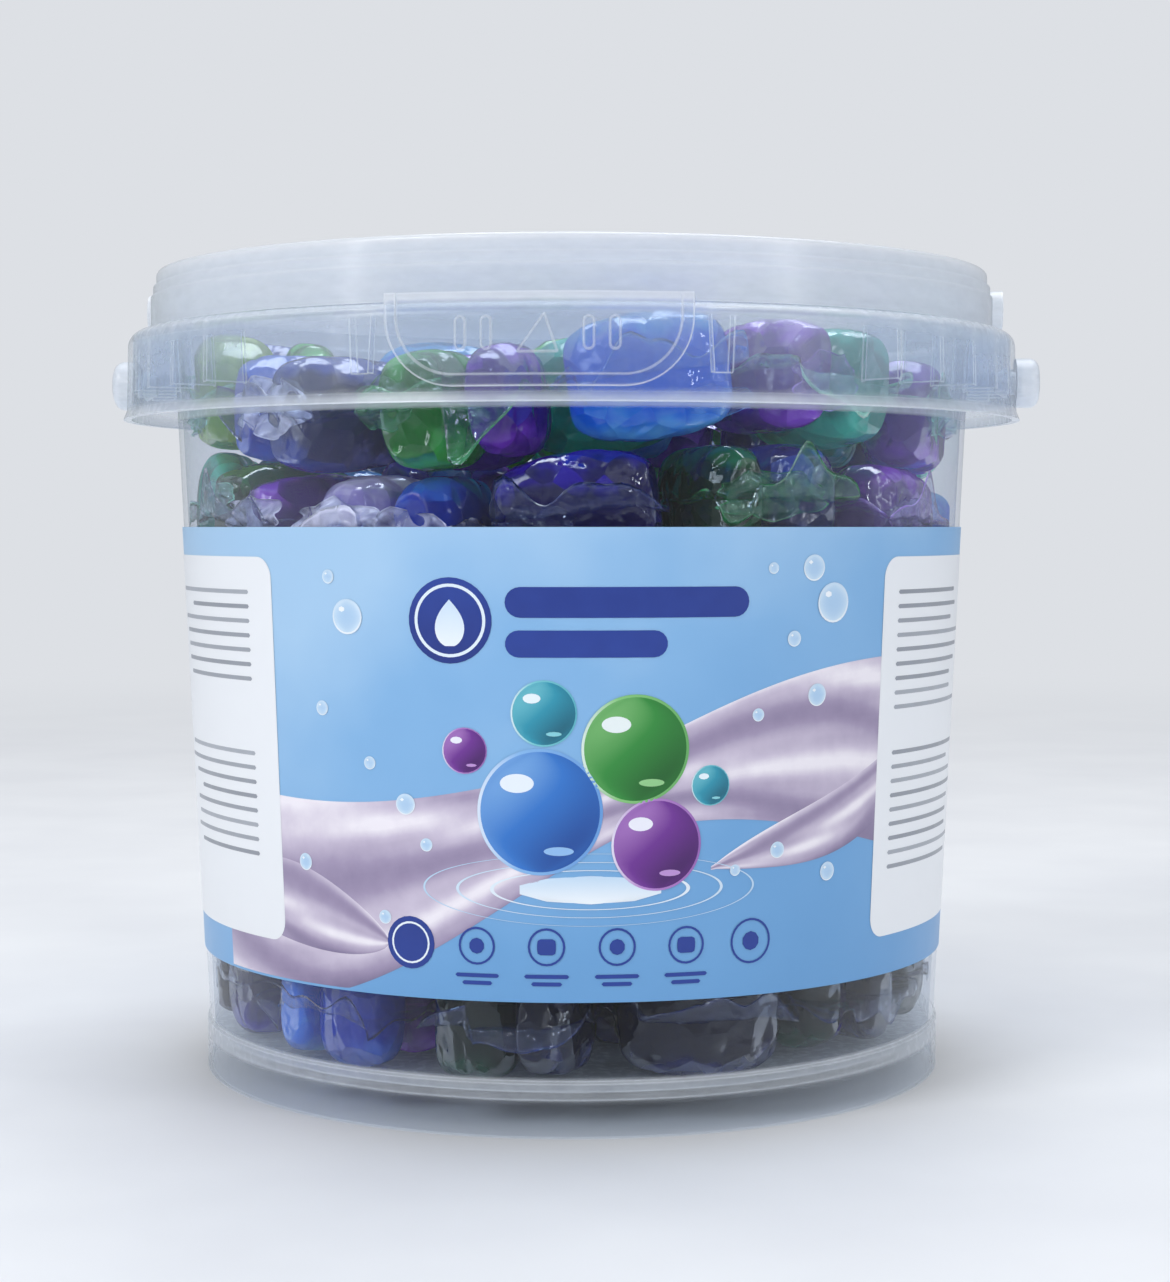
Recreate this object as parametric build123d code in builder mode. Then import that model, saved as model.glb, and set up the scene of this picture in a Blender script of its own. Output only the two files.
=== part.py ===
from build123d import *

import math
import os

# A round lidded tub of laundry pods, in millimetres.
# +Z is up and the origin is the middle of the foot. The pull tab is at the front, on -Y,
# and the bail handle turns about the X direction.

# Overall size
foot_radius = 94.4
lid_height = 201.0

# Tub: foot, floor and wall
foot_band_height = 13.0
foot_step = 0.6
wall = 1.2
wall_taper = 2.65
floor_underside = 8.7
floor_thickness = 1.5
floor_corner = 3.0

# Tub: the rim that the lid closes on; each depth is measured down from the lid's top
rim_step = 0.9
rim_thickness = 1.8
bead_depth = 7.6
bead_width = 4.8
bead_crest = 1.2
bead_reach = 1.7

# Tub: collar round the rim; each reach is measured out from the rim's inside
collar_reach = 11.6
collar_height = 21.8
collar_flare = 0.6
collar_corner = 3.6
lip_reach = 0.8
lip_height = 2.2

# Tub: ribs beside the pivots, and posts beside the pull tab
rib_thickness = 1.1
rib_height = 14.0
rib_pitch = 8.2
ribs_beside_pivot = 6
post_width = 5.5
post_foot_width = 4.0
post_depth = 3.0
post_angle = 20.7

# Lid
lid_wall = 1.2
skirt_reach = 6.0
skirt_depth = 14.8
skirt_clearance = 0.4
middle_step_reach = 5.4
middle_step_depth = 6.5
upper_step_reach = 4.6
upper_step_depth = 3.9
lid_edge_round = 1.1
panel_depth = 6.8
plug_clearance = 0.3
snap_lip_depth = 11.6
snap_lip_height = 1.4
snap_lip_slope = 0.8
bead_clearance = 0.3
stacking_ring_clearance = 1.2
stacking_ring_width = 1.4
stacking_ring_height = 1.5

# Pull tab on the lid's front, hanging below the skirt
tab_width = 66.8
tab_drop = 19.0
tab_corner = 15.0
tab_thickness = 1.2
tab_clearance = 0.45
tab_border_width = 2.6
tab_relief_height = 0.6
arrow_width = 10.0
arrow_height = 7.0
grip_bar_width = 2.2
grip_bar_height = 7.0
grip_bar_pitch = 5.6
grip_bar_start = 11.0
grip_bars_each_side = 2

# Lugs at the sides of the lid
lug_diameter = 9.8
lug_depth = 8.4
lug_reach = 2.9

# Bail handle, turning below the shoulder
pivot_depth = 11.8
hub_diameter = 12.6
hub_reach = 6.7
hub_clearance = 0.3
hub_round = 2.4
strap_reach = 5.0
strap_thickness = 3.0
strap_width = 10.0
strap_round = 0.8
peg_diameter = 6.0
peg_clearance = 0.1
peg_head_diameter = 8.0
peg_tip_diameter = 5.0
peg_head_length = 3.0
peg_head_clearance = 0.4

# Wrap label, between the foot and the collar
label_bottom = 31.0
label_drop = 26.8
label_thickness = 0.3
label_clearance = 0.1
label_seam = 5.0

# Gel pods, in layers of rings that follow the heap's gentle swell
pod_width = 39.0
pod_sides = 8
pod_taper = 25.0
pod_gap = 0.7
spin_step = 137.5
heap_depth = 3.8
heap_swell = 6.0
swell_lobes = 3
layer_count = 6
top_layer_turn = 15.7
layer_turn = 11.0
inner_ring_count = 5
pod_colours = ("blue", "teal", "purple", "navy", "green")
layer_colour_step = 3

whole_turn = 360
up = Vector(0, 0, 1)

# Heights
floor_top = floor_underside + floor_thickness
rim_top = lid_height - lid_wall
bead_height = lid_height - bead_depth
upper_step_bottom = lid_height - upper_step_depth
middle_step_bottom = lid_height - middle_step_depth
panel_top = lid_height - panel_depth
lug_height = lid_height - lug_depth
snap_lip_top = lid_height - snap_lip_depth
skirt_bottom = lid_height - skirt_depth
tab_bottom = skirt_bottom - tab_drop
shoulder_top = skirt_bottom - skirt_clearance
shoulder_underside = shoulder_top - wall
rib_bottom = shoulder_underside - rib_height
collar_bottom = shoulder_top - collar_height
pivot_height = shoulder_top - pivot_depth
heap_top = shoulder_top - heap_depth
label_top = collar_bottom - label_drop


def wall_outside(height):
    """Outside radius of the tapered wall."""
    return foot_radius - foot_step + (height - foot_band_height) * math.tan(math.radians(wall_taper))


def wall_inside(height):
    """Inside radius of the tapered wall."""
    return wall_outside(height) - wall


# Radii of the rim, the collar, the lid and the bail
rim_inside_radius = wall_inside(shoulder_underside - wall) + rim_step
rim_outside = rim_inside_radius + rim_thickness
bead_radius = rim_outside + bead_reach
collar_radius = rim_inside_radius + collar_reach
skirt_radius = rim_inside_radius + skirt_reach
middle_step_radius = rim_inside_radius + middle_step_reach
upper_step_radius = rim_inside_radius + upper_step_reach
hub_outside = collar_radius + hub_reach
strap_radius = collar_radius + strap_reach


def collar_outside(height):
    """Outside radius of the collar's skirt, which flares a little downwards."""
    flare_top = shoulder_top - collar_corner
    return collar_radius + collar_flare * (flare_top - height) / (flare_top - collar_bottom)


def from_front(angle):
    """Direction away from the axis, at an angle from the front that is positive towards +X."""
    return Vector(math.sin(math.radians(angle)), -math.cos(math.radians(angle)), 0)


def radial_plane(angle):
    """Plane through the axis, with its x outwards at this angle from the front and its y up."""
    return Plane(origin=(0, 0, 0), x_dir=from_front(angle), z_dir=from_front(angle).cross(up))


def side_plane(side, distance):
    """Plane across the pivots' axis, at this distance out on the +X or -X side, facing outwards."""
    return Plane(origin=(side * distance, 0, pivot_height), x_dir=(0, side, 0), z_dir=(side, 0, 0))


# Posts that stiffen the collar beside the pull tab, drawn at the front
with BuildPart() as collar_post:
    with BuildSketch(radial_plane(0)) as post_side:
        with BuildLine():
            Polyline(
                (collar_radius - wall / 2 - post_depth, rib_bottom),
                (collar_radius - wall / 2, rib_bottom),
                (collar_radius - wall / 2, shoulder_underside + wall / 2),
                (collar_radius - wall / 2 - post_depth, shoulder_underside + wall / 2),
                close=True,
            )
        make_face()
        post_corner = post_side.vertices().sort_by_distance((collar_radius, shoulder_top))[0]
        fillet(post_corner, min(collar_corner, post_depth) - wall / 2)
    extrude(amount=post_width, both=True)
    with BuildSketch(Plane.XZ):
        with BuildLine():
            Polyline(
                (-post_width / 2, shoulder_top),
                (post_width / 2, shoulder_top),
                (post_foot_width / 2, rib_bottom),
                (-post_foot_width / 2, rib_bottom),
                close=True,
            )
        make_face()
    extrude(amount=collar_radius, mode=Mode.INTERSECT)

# Tub: wall, floor, foot, rim, collar and ribs in one moulding
with BuildPart() as tub:
    with BuildSketch(Plane.XZ) as tub_section:
        with BuildLine():
            Polyline(
                (foot_radius - wall, 0),
                (foot_radius, 0),
                (foot_radius, foot_band_height - foot_step),
                (wall_outside(foot_band_height), foot_band_height),
                (wall_outside(shoulder_underside), shoulder_underside),
                (collar_radius - wall, shoulder_underside),
                (collar_outside(collar_bottom) - wall, collar_bottom),
                (collar_outside(collar_bottom) + lip_reach, collar_bottom),
                (collar_outside(collar_bottom + lip_height), collar_bottom + lip_height),
                (collar_radius, shoulder_top),
                (rim_outside, shoulder_top),
                (rim_outside, rim_top),
                (rim_inside_radius, rim_top),
                (rim_inside_radius, shoulder_top),
                (wall_inside(shoulder_underside - wall), shoulder_underside - wall),
                (wall_inside(floor_top), floor_top),
                (0, floor_top),
                (0, floor_underside),
                (foot_radius - wall, floor_underside),
                close=True,
            )
        make_face()
        corners = tub_section.vertices()
        fillet(corners.sort_by_distance((collar_radius, shoulder_top))[0], collar_corner)
        fillet(corners.sort_by_distance((collar_radius - wall, shoulder_underside))[0], collar_corner - wall)
        fillet(corners.sort_by_distance((wall_inside(floor_top), floor_top))[0], floor_corner)
    revolve(axis=Axis.Z)

    # Snap bead round the rim
    with BuildSketch(Plane.XZ):
        with BuildLine():
            Polyline(
                (rim_outside - rim_thickness / 2, bead_height - bead_width / 2),
                (rim_outside, bead_height - bead_width / 2),
                (bead_radius, bead_height - bead_crest / 2),
                (bead_radius, bead_height + bead_crest / 2),
                (rim_outside, bead_height + bead_width / 2),
                (rim_outside - rim_thickness / 2, bead_height + bead_width / 2),
                close=True,
            )
        make_face()
    revolve(axis=Axis.Z)

    # Thin ribs from the wall to the collar, on both sides of each pivot
    for pivot_side in (-90, 90):
        for step in range(-ribs_beside_pivot, ribs_beside_pivot):
            with BuildSketch(radial_plane(pivot_side + (step + 0.5) * rib_pitch)) as rib_side:
                with BuildLine():
                    Polyline(
                        (wall_outside(rib_bottom) - wall / 4, rib_bottom),
                        (collar_radius - wall / 2, rib_bottom),
                        (collar_radius - wall / 2, shoulder_underside + wall / 2),
                        (wall_outside(rib_bottom) - wall / 4, shoulder_underside + wall / 2),
                        close=True,
                    )
                make_face()
                rib_corner = rib_side.vertices().sort_by_distance((collar_radius, shoulder_top))[0]
                fillet(rib_corner, collar_corner - wall / 2)
            extrude(amount=rib_thickness / 2, both=True)

    add(collar_post.part, rotation=(0, 0, post_angle))
    add(collar_post.part, rotation=(0, 0, -post_angle))

    # Holes that the bail's pegs turn in
    for side in (-1, 1):
        with BuildSketch(side_plane(side, collar_radius - 2 * wall)):
            Circle(peg_diameter / 2 + peg_clearance)
        extrude(amount=4 * wall, mode=Mode.SUBTRACT)

# Pull tab: a plate that hangs from the lid's lower edge in front of the collar
tab_inside = collar_outside(tab_bottom) + tab_clearance
tab_outside = tab_inside + tab_thickness
tab_top = skirt_bottom + tab_thickness
arrow_side = math.hypot(arrow_width / 2, arrow_height)
with BuildPart() as pull_tab:
    with BuildSketch(Plane.XZ):
        with BuildLine():
            Polyline(
                (skirt_radius - lid_wall / 2, skirt_bottom),
                (tab_inside, skirt_bottom),
                (tab_inside, tab_bottom),
                (tab_outside, tab_bottom),
                (tab_outside, tab_top),
                (skirt_radius - lid_wall / 2, tab_top),
                close=True,
            )
        make_face()
    revolve(axis=Axis.Z)
    with BuildSketch(Plane.XZ) as tab_outline:
        with Locations((0, tab_bottom)):
            Rectangle(tab_width, 2 * (tab_top - tab_bottom), align=(Align.CENTER, Align.MIN))
        fillet(tab_outline.vertices().group_by(Axis.Y)[0], tab_corner)
    extrude(amount=2 * tab_outside, mode=Mode.INTERSECT)

# Raised border, lift arrow and grip bars on the pull tab
with BuildPart() as tab_relief:
    with BuildSketch(Plane.XZ):
        with Locations((tab_outside - tab_thickness / 2, tab_bottom)):
            Rectangle(
                tab_thickness / 2 + tab_relief_height,
                tab_top - tab_bottom,
                align=(Align.MIN, Align.MIN),
            )
    revolve(axis=Axis.Z)
    with BuildSketch(Plane.XZ) as relief_outline:
        with Locations((0, tab_bottom)):
            Rectangle(tab_width, 2 * (tab_top - tab_bottom), align=(Align.CENTER, Align.MIN))
        fillet(relief_outline.vertices().group_by(Axis.Y)[0], tab_corner)
        with BuildSketch(mode=Mode.SUBTRACT) as inset:
            with Locations((0, tab_bottom + tab_border_width)):
                Rectangle(
                    tab_width - 2 * tab_border_width,
                    2 * (tab_top - tab_bottom),
                    align=(Align.CENTER, Align.MIN),
                )
            fillet(inset.vertices().group_by(Axis.Y)[0], tab_corner - tab_border_width)
        middle_height = (tab_bottom + tab_border_width + tab_top) / 2
        with Locations((0, middle_height)):
            Triangle(c=arrow_width, a=arrow_side, b=arrow_side, align=Align.CENTER)
        for bar in range(grip_bars_each_side):
            reach = grip_bar_start + bar * grip_bar_pitch
            with Locations((-reach, middle_height), (reach, middle_height)):
                SlotOverall(grip_bar_height, grip_bar_width, rotation=90)
    extrude(amount=2 * tab_outside, mode=Mode.INTERSECT)

# Lugs on both sides of the lid's skirt, over the pivots
with BuildPart() as lid_lugs:
    with BuildSketch(Plane.XZ) as lug_section:
        with BuildLine():
            Polyline(
                (skirt_radius - lid_wall / 2, lug_height - lug_diameter / 2),
                (skirt_radius + lug_reach, lug_height - lug_diameter / 2),
                (skirt_radius + lug_reach, lug_height + lug_diameter / 2),
                (upper_step_radius - lid_wall / 2, lug_height + lug_diameter / 2),
                (upper_step_radius - lid_wall / 2, upper_step_bottom),
                (skirt_radius - lid_wall / 2, middle_step_bottom),
                close=True,
            )
        make_face()
    revolve(axis=Axis.Z)
    with BuildSketch(Plane.YZ):
        with Locations((0, lug_height)):
            Circle(lug_diameter / 2)
    extrude(amount=2 * skirt_radius, both=True, mode=Mode.INTERSECT)

# Lid: skirt, steps, plug, sunk panel and pull tab in one moulding
plug_outside = rim_inside_radius - plug_clearance
plug_inside = plug_outside - lid_wall
snap_lip_radius = bead_radius + bead_clearance
ring_inside = foot_radius + stacking_ring_clearance
with BuildPart() as lid:
    with BuildSketch(Plane.XZ) as lid_section:
        with BuildLine():
            Polyline(
                (skirt_radius - lid_wall, skirt_bottom),
                (skirt_radius, skirt_bottom),
                (skirt_radius, middle_step_bottom),
                (middle_step_radius, middle_step_bottom),
                (middle_step_radius, upper_step_bottom),
                (upper_step_radius, upper_step_bottom),
                (upper_step_radius, lid_height),
                (plug_inside, lid_height),
                (plug_inside, panel_top),
                (ring_inside + stacking_ring_width, panel_top),
                (ring_inside + stacking_ring_width, panel_top + stacking_ring_height),
                (ring_inside, panel_top + stacking_ring_height),
                (ring_inside, panel_top),
                (0, panel_top),
                (0, panel_top - lid_wall),
                (plug_outside, panel_top - lid_wall),
                (plug_outside, rim_top),
                (upper_step_radius - lid_wall, rim_top),
                (upper_step_radius - lid_wall, upper_step_bottom - lid_wall),
                (skirt_radius - lid_wall, middle_step_bottom),
                (skirt_radius - lid_wall, snap_lip_top),
                (snap_lip_radius, snap_lip_top - snap_lip_slope),
                (snap_lip_radius, snap_lip_top - snap_lip_slope - snap_lip_height),
                close=True,
            )
        make_face()
        lid_corners = lid_section.vertices()
        fillet(lid_corners.sort_by_distance((upper_step_radius, lid_height))[0], lid_edge_round)
        fillet(lid_corners.sort_by_distance((plug_inside, lid_height))[0], lid_edge_round)
    revolve(axis=Axis.Z)
    add(lid_lugs.part)
    add(pull_tab.part)
    add(tab_relief.part)

# Bail's end on the +X side: a hub outside the collar, and a peg through it with a snap head inside
hub_inside = collar_outside(pivot_height - hub_diameter / 2) + hub_clearance
head_outside = collar_outside(pivot_height) - wall - peg_head_clearance
with BuildPart() as bail_hub:
    with BuildSketch(Plane.XZ) as hub_section:
        with BuildLine():
            Polyline(
                (head_outside - peg_head_length, pivot_height),
                (head_outside - peg_head_length, pivot_height + peg_tip_diameter / 2),
                (head_outside, pivot_height + peg_head_diameter / 2),
                (head_outside, pivot_height + peg_diameter / 2),
                (hub_inside, pivot_height + peg_diameter / 2),
                (hub_inside, pivot_height + hub_diameter / 2),
                (hub_outside, pivot_height + hub_diameter / 2),
                (hub_outside, pivot_height),
                close=True,
            )
        make_face()
        hub_edge = (hub_outside, pivot_height + hub_diameter / 2)
        fillet(hub_section.vertices().sort_by_distance(hub_edge)[0], hub_round)
    revolve(axis=Axis((0, 0, pivot_height), (1, 0, 0)))

# Bail handle: a half ring of strap with both hubs
with BuildPart() as bail_handle:
    with BuildSketch(Plane.XZ):
        with Locations((strap_radius, pivot_height)):
            RectangleRounded(strap_thickness, strap_width, strap_round)
    revolve(axis=Axis.Z, revolution_arc=whole_turn / 2)
    add(bail_hub.part)
    mirror(bail_hub.part, about=Plane.YZ)

# Wrap label: a thin film round the wall, with its seam at the back
seam_angle = math.degrees(label_seam / wall_outside(label_bottom))
with BuildPart() as wrap_label:
    with BuildSketch(radial_plane(whole_turn / 2 + seam_angle / 2)):
        with BuildLine():
            Polyline(
                (wall_outside(label_bottom) + label_clearance, label_bottom),
                (wall_outside(label_bottom) + label_clearance + label_thickness, label_bottom),
                (wall_outside(label_top) + label_clearance + label_thickness, label_top),
                (wall_outside(label_top) + label_clearance, label_top),
                close=True,
            )
        make_face()
    revolve(axis=Axis.Z, revolution_arc=whole_turn - seam_angle)


def swell(level, radius, angle):
    """Rise of the heap's surface at this level, counted in layers: none at the floor, most at the top."""
    growth = level / layer_count * radius / wall_inside(heap_top)
    return heap_swell * growth * math.sin(math.radians(swell_lobes * angle))


def pod_plane(layer, radius, angle):
    """Middle plane of a pod, lying on the swell of its layer, and the thickness it has there."""
    pitch = (heap_top - floor_top) / layer_count
    bottom = floor_top + layer * pitch + swell(layer, radius, angle)
    top = floor_top + (layer + 1) * pitch + swell(layer + 1, radius, angle)
    steepness = heap_swell * (layer + 0.5) / layer_count / wall_inside(heap_top)
    outward_slope = steepness * math.sin(math.radians(swell_lobes * angle))
    sideways_slope = steepness * swell_lobes * math.cos(math.radians(swell_lobes * angle))
    normal = up - from_front(angle) * outward_slope - from_front(angle + 90) * sideways_slope
    middle = from_front(angle) * radius + up * ((bottom + top) / 2)
    return Plane(origin=middle, z_dir=normal), (top - bottom) * normal.normalized().Z - pod_gap


def layer_seats(layer):
    """Radius, angle and place in the colour order of each pod in a layer's outer and inner rings."""
    middle_height = floor_top + (layer + 0.5) * (heap_top - floor_top) / layer_count
    outer_radius = wall_inside(middle_height) - pod_width / 2 - pod_gap
    inner_radius = pod_width / 2 / math.sin(math.pi / inner_ring_count) + pod_gap
    start = top_layer_turn - layer_turn * (layer_count - 1 - layer)
    outer_count = math.floor(math.pi / math.asin(pod_width / 2 / outer_radius))
    outer_turn = whole_turn / outer_count
    inner_turn = whole_turn / inner_ring_count
    outer_ring = [(outer_radius, start + step * outer_turn, step) for step in range(outer_count)]
    inner_ring = [(inner_radius, start + step * inner_turn, step + 1) for step in range(inner_ring_count)]
    return outer_ring + inner_ring


# Gel pods: film pillows, one group for each colour in each layer
pod_groups = {}
for layer in range(layer_count):
    for shade, colour in enumerate(pod_colours):
        shift = layer_colour_step * layer
        seats = [seat for seat in layer_seats(layer) if (seat[2] + shift) % len(pod_colours) == shade]
        with BuildPart() as pods:
            for radius, angle, place in seats:
                plane, thickness = pod_plane(layer, radius, angle)
                with BuildSketch(plane):
                    RegularPolygon(pod_width / 2, pod_sides, rotation=spin_step * (place + layer))
                extrude(amount=thickness / 2, both=True, taper=pod_taper)
        pods.part.label = f"{colour}_pods_layer_{layer + 1}"
        pod_groups[pods.part.label] = pods.part

tub.part.label = "tub"
lid.part.label = "lid"
bail_handle.part.label = "bail_handle"
wrap_label.part.label = "wrap_label"

os.makedirs("parts", exist_ok=True)
for piece in (tub.part, lid.part, bail_handle.part, wrap_label.part, *pod_groups.values()):
    export_step(piece, f"parts/{piece.label}.step")
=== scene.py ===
import math
import random

import bpy
import numpy as np
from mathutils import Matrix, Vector


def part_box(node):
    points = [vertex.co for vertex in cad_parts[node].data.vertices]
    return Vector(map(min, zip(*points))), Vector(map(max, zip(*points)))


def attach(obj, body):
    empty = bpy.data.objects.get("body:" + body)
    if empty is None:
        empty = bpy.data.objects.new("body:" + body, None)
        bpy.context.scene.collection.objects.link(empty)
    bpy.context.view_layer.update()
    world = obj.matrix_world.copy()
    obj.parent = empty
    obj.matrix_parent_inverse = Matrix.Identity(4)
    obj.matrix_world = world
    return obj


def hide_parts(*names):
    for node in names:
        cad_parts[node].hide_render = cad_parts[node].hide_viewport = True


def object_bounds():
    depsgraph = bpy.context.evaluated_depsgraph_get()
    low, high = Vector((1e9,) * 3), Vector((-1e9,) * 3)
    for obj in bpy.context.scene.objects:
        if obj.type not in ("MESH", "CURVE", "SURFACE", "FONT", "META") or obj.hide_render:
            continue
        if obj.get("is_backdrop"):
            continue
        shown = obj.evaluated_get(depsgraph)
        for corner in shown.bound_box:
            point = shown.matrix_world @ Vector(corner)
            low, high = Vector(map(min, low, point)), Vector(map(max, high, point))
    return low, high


# A lidded tub of laundry pods in natural polypropylene, on a pale studio floor.
# Lengths in metres; MM turns the tub's own millimetres into them.
MM = 0.001

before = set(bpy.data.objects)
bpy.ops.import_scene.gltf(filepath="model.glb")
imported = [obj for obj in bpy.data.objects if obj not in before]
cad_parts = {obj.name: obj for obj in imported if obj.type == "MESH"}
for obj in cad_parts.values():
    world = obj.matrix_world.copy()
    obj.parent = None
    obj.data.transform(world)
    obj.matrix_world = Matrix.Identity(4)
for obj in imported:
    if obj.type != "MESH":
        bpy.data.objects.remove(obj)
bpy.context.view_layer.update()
scene = bpy.context.scene
scene.view_settings.view_transform = "Standard"


def linear(hex_colour):
    """Linear colour, with alpha 1, from an sRGB hex value."""
    shares = [int(hex_colour[i:i + 2], 16) / 255 for i in (1, 3, 5)]
    return [c / 12.92 if c <= 0.04045 else ((c + 0.055) / 1.055) ** 2.4 for c in shares] + [1.0]


def add(tree, kind, inputs=None, **settings):
    """Add a node, with its settings, and its inputs set to values or linked to outputs."""
    made = tree.nodes.new(kind)
    for name, value in settings.items():
        setattr(made, name, value)
    for name, value in (inputs or {}).items():
        if isinstance(value, bpy.types.NodeSocket):
            tree.links.new(value, made.inputs[name])
        else:
            made.inputs[name].default_value = value
    return made


def ramp(tree, value, stops, interpolation="LINEAR"):
    """Colour ramp node through (place, colour) stops."""
    made = add(tree, "ShaderNodeValToRGB", {"Fac": value})
    band = made.color_ramp
    band.interpolation = interpolation
    while len(band.elements) < len(stops):
        band.elements.new(0.5)
    for element, (place, colour) in zip(band.elements, stops):
        element.position = place
        element.color = colour
    return made


def material(name):
    """Empty node material, and its tree."""
    made = bpy.data.materials.new(name)
    made.use_nodes = True
    made.node_tree.nodes.clear()
    return made, made.node_tree


def finish_material(tree, shader):
    add(tree, "ShaderNodeOutputMaterial", {"Surface": shader})


# ---------------------------------------------------------------- polypropylene

HAZE_HEIGHT = 210  # mm, a little past the lid's top


def moulded_polypropylene(name, milk_and_highlight_stops, body, roughness, flow):
    """Natural polypropylene, injection moulded: clear but milky, whiter where it is thick or at an edge,
    with a soft gloss and faint flow marks. The stops pair a height in mm with how milky the wall is; their
    narrow milkier bands at rims and ridges are partly painted highlight lines."""
    made, tree = material(name)
    place = add(tree, "ShaderNodeTexCoord").outputs["Object"]
    split = add(tree, "ShaderNodeSeparateXYZ", {"Vector": place})
    height = add(tree, "ShaderNodeMath", {0: split.outputs["Z"], 1: HAZE_HEIGHT * MM}, operation="DIVIDE")
    stops = [(h / HAZE_HEIGHT, (w, w, w, 1)) for h, w in milk_and_highlight_stops]
    # Milkiness by height: partly the wall's own haze, partly painted highlight lines in its narrow bands at
    # rims and ridges
    haze_and_highlight = ramp(tree, height.outputs[0], stops)

    # Flow marks: long soft streaks round the wall, about 6 mm apart, and specks of about 2.5 mm
    stretched = add(tree, "ShaderNodeVectorMath", {0: place, 1: (1, 1, 2.6)}, operation="MULTIPLY")
    streaks = add(tree, "ShaderNodeTexNoise", {
        "Vector": stretched.outputs[0], "Scale": 1 / (6 * MM), "Detail": 3.0})
    specks = add(tree, "ShaderNodeTexNoise", {"Vector": place, "Scale": 1 / (2.5 * MM), "Detail": 1.0})
    cloud = add(tree, "ShaderNodeMapRange", {"Value": streaks.outputs["Fac"], "From Min": 0.3, "From Max": 0.7,
                                             "To Min": 1 - flow, "To Max": 1 + flow})
    milky = add(tree, "ShaderNodeMath", {0: haze_and_highlight.outputs["Color"], 1: cloud.outputs[0]}, operation="MULTIPLY")
    # Light that runs along the wall leaves at every moulded corner, so a line of about 0.7 mm there is whiter
    facing = add(tree, "ShaderNodeNewGeometry")
    softened = add(tree, "ShaderNodeBevel", {"Radius": 0.7 * MM}, samples=3)
    same = add(tree, "ShaderNodeVectorMath", {0: softened.outputs[0], 1: facing.outputs["Normal"]},
               operation="DOT_PRODUCT")
    corner = add(tree, "ShaderNodeMapRange", {
        "Value": same.outputs["Value"], "From Min": 0.995, "From Max": 0.80, "To Min": 0.0, "To Max": 0.85})
    edge = add(tree, "ShaderNodeLayerWeight", {"Blend": 0.28})
    # A wall has two faces: the outer one carries the haze of both, and the inner one only its corners
    rim = add(tree, "ShaderNodeMath", {0: edge.outputs["Facing"], 1: 0.22, 2: milky.outputs[0]},
              operation="MULTIPLY_ADD", use_clamp=True)
    rest = add(tree, "ShaderNodeMath", {0: 2.0, 1: rim.outputs[0]}, operation="SUBTRACT")
    twice = add(tree, "ShaderNodeMath", {0: rim.outputs[0], 1: rest.outputs[0]}, operation="MULTIPLY")
    cover = add(tree, "ShaderNodeMath", {0: twice.outputs[0], 1: corner.outputs[0]},
                operation="ADD", use_clamp=True)

    rough = add(tree, "ShaderNodeMapRange", {"Value": specks.outputs["Fac"], "From Min": 0.35, "From Max": 0.65,
                                             "To Min": roughness - 0.02, "To Max": roughness + 0.03})
    bump = add(tree, "ShaderNodeBump", {
        "Height": streaks.outputs["Fac"], "Strength": 0.12, "Distance": 0.4 * MM})
    solid = add(tree, "ShaderNodeBsdfPrincipled", {
        "Base Color": linear(body), "Roughness": rough.outputs[0], "IOR": 1.5,
        "Specular IOR Level": 0.6, "Normal": bump.outputs[0]})
    through = add(tree, "ShaderNodeBsdfTranslucent", {"Color": linear(body), "Normal": bump.outputs[0]})
    milk = add(tree, "ShaderNodeMixShader", {0: 0.35, 1: solid.outputs[0], 2: through.outputs[0]})
    clear = add(tree, "ShaderNodeBsdfTransparent", {"Color": linear("#f9fbfe")})
    wall = add(tree, "ShaderNodeMixShader", {0: cover.outputs[0], 1: clear.outputs[0], 2: milk.outputs[0]})
    # The outer skin alone shines: a little straight on, more where the wall turns away
    shine = add(tree, "ShaderNodeBsdfGlossy", {"Color": linear("#ffffff"), "Roughness": 0.16,
                                               "Normal": bump.outputs[0]})
    turned = add(tree, "ShaderNodeMath", {0: edge.outputs["Facing"], 1: 3.0}, operation="POWER")
    mirror = add(tree, "ShaderNodeMath", {0: turned.outputs[0], 1: 0.40, 2: 0.012}, operation="MULTIPLY_ADD")
    outside = add(tree, "ShaderNodeMixShader", {0: mirror.outputs[0], 1: wall.outputs[0], 2: shine.outputs[0]})
    plain = add(tree, "ShaderNodeBsdfDiffuse", {"Color": linear(body)})
    inside = add(tree, "ShaderNodeMixShader", {0: corner.outputs[0], 1: clear.outputs[0], 2: plain.outputs[0]})
    skin = add(tree, "ShaderNodeMixShader", {0: facing.outputs["Backfacing"], 1: outside.outputs[0],
                                             2: inside.outputs[0]})
    # Light on its way to another surface passes through, a little dimmed by each face
    passing = add(tree, "ShaderNodeBsdfTransparent", {"Color": linear("#f0f3f6")})
    seen = add(tree, "ShaderNodeLightPath").outputs["Is Camera Ray"]
    both = add(tree, "ShaderNodeMixShader", {0: seen, 1: passing.outputs[0], 2: skin.outputs[0]})
    finish_material(tree, both.outputs[0])
    return made


# Tub: the narrow milkier bands at the collar's lower edge and at its top are partly painted highlight lines
tub_plastic = moulded_polypropylene("natural_polypropylene_tub", [
    (0.0, 0.08), (0.8, 0.02), (8.0, 0.02), (9.0, 0.22), (12.4, 0.24), (13.0, 0.28), (13.8, 0.008),
    (31.0, 0.004), (163.5, 0.004), (164.2, 0.34), (166.0, 0.14), (167.2, 0.03), (172.0, 0.04),
    (180.5, 0.08), (184.4, 0.18), (185.4, 0.36), (185.9, 0.20), (200.0, 0.20)], "#eef4fb", 0.26, 0.12)
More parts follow.
